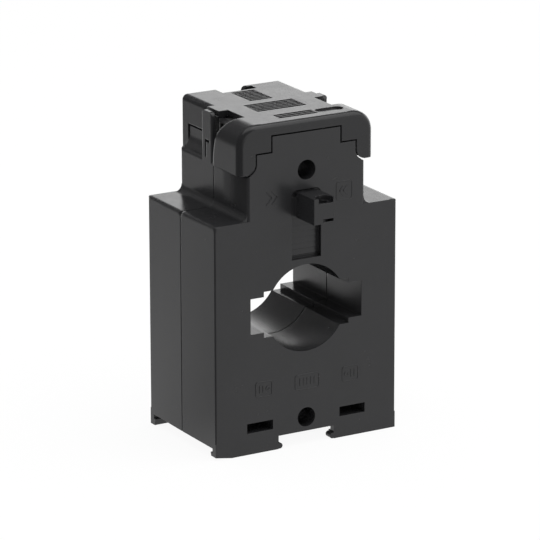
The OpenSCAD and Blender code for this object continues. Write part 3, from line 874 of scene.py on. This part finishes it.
@dataclass
class MouldMarks:
    """Raised plain marks on the front, which stand where such a moulding carries its marks."""

    face_y: float
    line_width: float = 0.5
    line_height: float = 0.2
    neck_line_height: float = 0.12
    sink: float = 0.04
    low_row: float = 22.3

    def layout(self) -> dict[str, tuple[tuple[float, float], list[Stroke]]]:
        """Lay out the five marks.

        Returns:
            The centre of each mark on the front face and its strokes, in millimetres.
        """
        return {
            "mark_low_left": ((-16.5, self.low_row), [
                rounded_frame(6.2, 5.2), *bars(-1.6, -0.3), ring_stroke(1.5)]),
            "mark_low_middle": ((0.3, self.low_row), [
                rounded_frame(9.2, 5.2), *bars(-2.8, -1.4, 0.0, 1.4, 2.8)]),
            "mark_low_right": ((17.2, self.low_row), [
                rounded_frame(6.2, 5.2), *bars(0.3, 1.6), ring_stroke(-1.5)]),
            "mark_neck_left": ((-13.6, 88.2), [
                arrow_head(-1.8, 0.2, 2.4), arrow_head(0.2, 2.2, 2.4)]),
            "mark_neck_right": ((14.6, 86.9), [
                rounded_frame(6.0, 6.4), arrow_head(1.2, -0.4, 1.7),
                arrow_head(-0.4, -1.8, 1.7)]),
        }

    def ridge(self, stroke: Stroke, centre: tuple[float, float], height: float) -> np.ndarray:
        """Carry a half-oval profile along a stroke.

        A point of the surface is path + side * w cos t, raised by h sin t, with t from 0 to
        pi. At the ends of an open stroke w and h shrink as a quarter circle, which rounds it.

        Args:
            stroke: The line.
            centre: Where the mark's middle lies, in millimetres.
            height: How far the line stands out, in millimetres.

        Returns:
            Grid of points in metres.
        """
        path = np.array(stroke.points, float) + np.array(centre)
        if stroke.closed:
            path = np.vstack([path, path[:1]])
        spans = np.linalg.norm(np.diff(path, axis=0), axis=1)
        place = np.concatenate([[0], np.cumsum(spans)])
        if stroke.closed:
            along = place
        else:
            samples = len(path) * 2 + 11
            ease = 0.5 - 0.5 * np.cos(np.linspace(0, np.pi, samples))
            along = np.unique(np.concatenate([ease * place[-1], place]))
        line = np.stack([np.interp(along, place, path[:, k]) for k in range(2)], axis=-1)
        run = np.gradient(line, axis=0)
        if stroke.closed:
            run[0] = run[-1] = line[1] - line[-2]
        run /= np.linalg.norm(run, axis=1, keepdims=True)
        side = np.stack([-run[:, 1], run[:, 0]], axis=-1)
        half = self.line_width / 2
        if stroke.closed:
            scale = np.ones_like(along)
        else:
            to_end = np.minimum(along, place[-1] - along)
            scale = np.sqrt(1 - (1 - np.clip(to_end / half, 0, 1)) ** 2)
        turn = np.linspace(0, np.pi, 9)
        width = half * scale[:, None] * np.cos(turn)[None, :]
        raised = height * scale[:, None] * np.sin(turn)[None, :] - self.sink
        flat = line[:, None, :] + side[:, None, :] * width[:, :, None]
        points = np.stack([flat[..., 0], self.face_y / MM - raised, flat[..., 1]], axis=-1)
        return points * MM

    def build(self) -> list[bpy.types.Object]:
        """Make the marks, one piece each.

        Returns:
            The pieces.
        """
        pieces = []
        for name, (centre, strokes) in self.layout().items():
            parts = MeshParts()
            on_neck = name.startswith("mark_neck")
            height = self.neck_line_height if on_neck else self.line_height
            for stroke in strokes:
                grid = self.ridge(stroke, centre, height)
                closed = np.concatenate([grid, grid[:, :1]], axis=1)
                parts.add_grid(closed)
            piece = parts.build(name)
            dress(piece, Look.FRONT_HALF)
            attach(piece, "root")
            pieces.append(piece)
        return pieces


@dataclass
class CageTeeth:
    """Fine ribs on the inner rear wall of a wire cage, which bite the wire."""

    side: str
    ribs: int = 6
    rib_height: float = 0.22 * MM
    wall: float = 1.0 * MM
    margin: float = 0.5 * MM
    end_gap: float = 0.3 * MM
    fade: Span = (-0.1 * MM, 0.3 * MM)
    sink: float = 0.05 * MM
    columns_a_rib: int = 12
    rows: int = 9

    def build(self) -> bpy.types.Object:
        """Make the ribs as one wavy plate that lies on the wall.

        The plate stands off the wall by h |sin| of the place along X, so each half wave is
        one rib, and it fades to nothing at its ends.

        Returns:
            The finished piece.
        """
        node = f"wire_cage_{self.side}"
        low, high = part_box(node)
        wall_y = high.y - self.wall
        across = np.linspace(low.x + self.margin, high.x - self.margin,
                             self.ribs * self.columns_a_rib + 1)
        up = np.linspace(low.z + self.wall + self.end_gap, high.z - self.wall - self.end_gap,
                         self.rows)
        x, z = np.meshgrid(across, up, indexing="ij")
        share = (x - x.min()) / (x.max() - x.min())
        wave = np.abs(np.sin(np.pi * self.ribs * share))
        fade = smooth_step(np.minimum(z - z.min(), z.max() - z), *self.fade)
        front = np.stack([x, wall_y - self.rib_height * wave * fade, z], axis=-1)
        back = np.stack([x, np.full_like(x, wall_y + self.sink), z], axis=-1)
        parts = MeshParts()
        parts.add_grid(front)
        parts.add_grid(back)
        for edge in (np.s_[0, :], np.s_[-1, :], np.s_[:, 0], np.s_[:, -1]):
            parts.add_grid(np.stack([front[edge], back[edge]]))
        piece = parts.build(f"cage_teeth_{self.side}", smooth=False)
        dress(piece, Look.CAGE)
        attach(piece, f"cage_{self.side}")
        return piece


@dataclass
class Transformer:
    """The whole object: the looks of its solids and the pieces that are added to them."""

    nodes: dict[str, bpy.types.Object]
    looks: dict[str, Look] = field(default_factory=lambda: {
        "front_shell": Look.FRONT_HALF, "rear_shell": Look.REAR_HALF,
        "terminal_cover": Look.COVER, "busbar_bracket": Look.BRACKET,
        "terminal_block": Look.INSERT,
        "wire_cage_left": Look.CAGE, "wire_cage_right": Look.CAGE,
        "terminal_screw_left": Look.SCREW, "terminal_screw_right": Look.SCREW,
        "housing_screw_low": Look.SCREW, "housing_screw_high": Look.SCREW,
        "terminal_bar_left": Look.BAR, "terminal_bar_right": Look.BAR,
        "lead_left": Look.SLEEVE, "lead_right": Look.SLEEVE,
        "core_cup": Look.CUP, "core_cup_lid": Look.CUP, "ring_core": Look.STRIP,
        "secondary_winding": Look.WIRE, "winding_tape": Look.TAPE,
        "front_core_pad": Look.FOAM, "rear_core_pad": Look.FOAM,
    })

    def dress_solids(self) -> None:
        """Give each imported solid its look."""
        for name, look in self.looks.items():
            dress(self.nodes[name], look)
            LOG.info("solid %s wears %s", name, look.value.name)

    def screws(self) -> list[bpy.types.Object]:
        """Make the four screws.

        Returns:
            The pieces.
        """
        pieces = []
        for side in ("left", "right"):
            pieces.append(RecessedScrew(
                name=f"screw_{side}_threaded", node=f"terminal_screw_{side}",
                body=f"screw_{side}", head_radius=2.7 * MM, head_height=2.4 * MM,
                shank_radius=2.0 * MM, pitch=0.7 * MM, thread_from=1.8 * MM,
                recess_arm=1.9 * MM, recess_width=0.8 * MM, recess_depth=1.3 * MM).build())
        for level in ("low", "high"):
            pieces.append(RecessedScrew(
                name=f"long_screw_{level}", node=f"housing_screw_{level}", body="root",
                head_radius=3.0 * MM, head_height=2.15 * MM, shank_radius=1.5 * MM,
                pitch=1.3 * MM, thread_from=9 * MM, recess_arm=1.9 * MM,
                recess_width=0.9 * MM, recess_depth=1.3 * MM).build())
        return pieces

    def build(self) -> None:
        """Dress the solids and add every piece."""
        self.dress_solids()
        added = self.screws()
        added += MouldMarks(face_y=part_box("front_shell")[0].y).build()
        added += [CageTeeth(side).build() for side in ("left", "right")]
        for piece in added:
            LOG.info("piece %s has %d faces", piece.name, len(piece.data.polygons))


@dataclass(frozen=True)
class FloorMirror:
    """Brightness of the studio's floor in reflections.

    It is middling in front and on the left, where the flat sides mirror it, bright straight
    behind, where it lights the rims of the left edges, and dark far off and towards the near
    left, which only the round corners mirror. A narrow strip behind the left side is shaded.
    Zones end softly between the two values of a span, in metres on the floor. The lane is
    the place across the line of view as the left side mirrors it.
    """

    front: float = 0.72
    left: float = 0.42
    rear: float = 0.7
    shaded: float = 0.2
    behind: float = 2.6
    far: float = 0.13
    lane_x: float = 0.829
    lane_y: float = 0.479
    to_rear_lane: Span = (-0.045, -0.012)
    shade_lane: Span = (0.002, 0.008)
    past_shade_lane: Span = (0.018, 0.03)
    past_shade_share: float = 0.6
    rear_y: Span = (-0.02, 0.03)
    far_y: Span = (0.3, 0.8)
    slant: float = 0.25
    behind_slant: Span = (-0.04, 0.04)
    near_slant: Span = (-0.0558, -0.0408)
    near_diagonal: Span = (-0.078, -0.058)

    def colour(self, graph: Graph) -> Socket:
        """Mix the zones.

        Args:
            graph: The floor's graph.

        Returns:
            The colour.
        """
        across, along = graph.axis("X"), graph.axis("Y")
        slanted = across + along * self.slant
        lane = across * self.lane_x + along * self.lane_y
        rear = graph.step(along, *self.rear_y)
        to_rear = graph.step(lane, *self.to_rear_lane)
        past_shade = graph.step(lane, *self.past_shade_lane) * self.past_shade_share
        in_shade = graph.step(lane, *self.shade_lane) * (1 - past_shade)
        is_behind = graph.step(slanted, *self.behind_slant) * rear
        near_left = ((1 - graph.step(across + along, *self.near_diagonal))
                     * (1 - graph.step(slanted, *self.near_slant)))
        front, left, middling, shade, bright, dark = ((level,) * 3 for level in (
            self.front, self.left, self.rear, self.shaded, self.behind, self.far))
        beside = graph.mix(in_shade, graph.mix(to_rear, left, middling), shade)
        level = graph.mix(is_behind, graph.mix(rear, front, beside), bright)
        far_off = graph.step(along, *self.far_y)
        return graph.mix(graph.math("MAXIMUM", far_off, near_left), level, dark)


@dataclass(frozen=True)
class SoftBox:
    """A square lamp that faces the object."""

    name: str
    place: Point
    width: float
    power: float
    aim: Point = (0.0, 0.0, 0.06)

    def hang(self) -> None:
        """Make the lamp in its place."""
        light = bpy.data.lights.new(self.name, "AREA")
        light.shape = "RECTANGLE"
        light.size = light.size_y = self.width
        light.energy = self.power
        made = bpy.data.objects.new(self.name, light)
        bpy.context.scene.collection.objects.link(made)
        beam = Vector(self.aim) - Vector(self.place)
        made.location = self.place
        made.rotation_euler = beam.to_track_quat("-Z", "Y").to_euler()


@dataclass
class Studio:
    """Pale floor, soft lamps and a camera at the photograph's angle.

    The spans of the backdrop are parts of a direction's unit vector.
    """

    azimuth: float = -29.99
    elevation: float = 16.8
    roll: float = -0.125
    distance: float = 1.3434
    focal_share: float = 3965.4 / 540
    target: Point = (0.00149, 0.0, 0.05683)
    centre_offset: tuple[float, float] = (6.0, -4.76)
    pixels_a_metre: float = 2952.0
    backdrop_top: Span = (0.32, 0.39)
    backdrop_side: Span = (-0.35, 0.05)
    backdrop_rear: Span = (-0.3, 0.3)
    backdrop_light: float = 1.75
    front_light: float = 0.75
    ceiling_light: float = 0.12
    fill_light: float = 0.55
    floor_half: float = 3.0
    floor_grey: Colour = (0.8, 0.8, 0.8)
    floor_white: float = 1.03
    floor_white_share: float = 0.9
    floor_mirror: FloorMirror = FloorMirror()
    lamps: tuple[SoftBox, ...] = (SoftBox("key_box", (0.75, -0.55, 1.25), 1.5, 9.0),
                                  SoftBox("top_box", (-0.1, 0.1, 1.6), 1.6, 8.0))

    def axes(self) -> tuple[Vector, Vector, Vector]:
        """Right, up and backward directions of the camera.

        Returns:
            The three unit vectors.
        """
        turn, tilt, roll = (math.radians(a) for a in (self.azimuth, self.elevation, self.roll))
        back = Vector((math.sin(turn) * math.cos(tilt), -math.cos(turn) * math.cos(tilt),
                       math.sin(tilt)))
        right = Vector((math.cos(turn), math.sin(turn), 0.0))
        up = back.cross(right)
        rolled_right = math.cos(roll) * right + math.sin(roll) * up
        rolled_up = -math.sin(roll) * right + math.cos(roll) * up
        return rolled_right, rolled_up, back

    def camera(self) -> None:
        """Place the camera so that the object lies in the frame as in the photograph."""
        right, up, back = self.axes()
        made = bpy.data.cameras.new("photo_camera")
        made.sensor_width = 36.0
        made.lens = self.focal_share * made.sensor_width
        made.clip_start = 0.05
        made.clip_end = 20.0
        eye = bpy.data.objects.new("photo_camera", made)
        bpy.context.scene.collection.objects.link(eye)
        shift_right = -self.centre_offset[0] / self.pixels_a_metre
        shift_up = self.centre_offset[1] / self.pixels_a_metre
        place = (Vector(self.target) + back * self.distance
                 + right * shift_right + up * shift_up)
        turn = Matrix((right, up, back)).transposed().to_4x4()
        eye.matrix_world = Matrix.Translation(place) @ turn
        bpy.context.scene.camera = eye

    def floor(self) -> None:
        """Lay a pale floor that is nearly white to the camera and keeps a soft shadow."""
        half = self.floor_half
        mesh = bpy.data.meshes.new("studio_floor")
        corners = [(-half, -half, 0), (half, -half, 0), (half, half, 0), (-half, half, 0)]
        mesh.from_pydata(corners, [], [(0, 1, 2, 3)])
        piece = bpy.data.objects.new("studio_floor", mesh)
        bpy.context.scene.collection.objects.link(piece)
        material = bpy.data.materials.new("studio_floor")
        material.use_nodes = True
        graph = Graph(material.node_tree)
        seen = graph.node("ShaderNodeLightPath", output="Is Camera Ray")
        mirrored = graph.node("ShaderNodeLightPath", output="Is Glossy Ray")
        lit = graph.node("ShaderNodeBsdfDiffuse", {}, {"Color": (*self.floor_grey, 1.0)})
        white = graph.node("ShaderNodeEmission", {}, {
            "Color": WHITE, "Strength": self.floor_white})
        glossy = graph.node("ShaderNodeEmission", {}, {
            "Color": self.floor_mirror.colour(graph), "Strength": 1.0})
        first = graph.node("ShaderNodeMixShader", {}, {
            0: seen * self.floor_white_share, 1: lit, 2: white})
        both = graph.node("ShaderNodeMixShader", {}, {0: mirrored, 1: first, 2: glossy})
        graph.node("ShaderNodeOutputMaterial", {}, {"Surface": both})
        mesh.materials.append(material)

    def world(self) -> None:
        """Light from all round: a white backdrop low down and a dim ceiling above it."""
        world = bpy.data.worlds.new("studio")
        bpy.context.scene.world = world
        world.use_nodes = True
        graph = Graph(world.node_tree)
        seen = graph.node("ShaderNodeLightPath", output="Is Camera Ray")
        mirrored = graph.node("ShaderNodeLightPath", output="Is Glossy Ray")
        direction = graph.node("ShaderNodeTexCoord", output="Generated")
        across, along, height = (graph.axis(name, direction) for name in "XYZ")
        low = 1 - graph.step(height, *self.backdrop_top)
        right = graph.step(across, *self.backdrop_side)
        behind = graph.step(along, *self.backdrop_rear)
        wall = self.front_light + behind * (self.backdrop_light - self.front_light)
        level = self.ceiling_light + low * right * (wall - self.ceiling_light)
        unseen = mirrored * level + (1 - mirrored) * self.fill_light
        strength = seen + (1 - seen) * unseen
        sky = graph.node("ShaderNodeBackground", {}, {"Color": WHITE, "Strength": strength})
        graph.node("ShaderNodeOutputWorld", {}, {"Surface": sky})

    def build(self) -> None:
        """Set up the whole studio."""
        self.camera()
        self.floor()
        self.world()
        for lamp in self.lamps:
            lamp.hang()
        bpy.context.scene.view_settings.view_transform = "Standard"


def main() -> None:
    """Load the frame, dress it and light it."""
    logging.basicConfig(level=logging.INFO, format="%(name)s: %(message)s")
    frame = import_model()
    Transformer(nodes=frame["nodes"]).build()
    Studio().build()


if __name__ == "__main__":
    main()
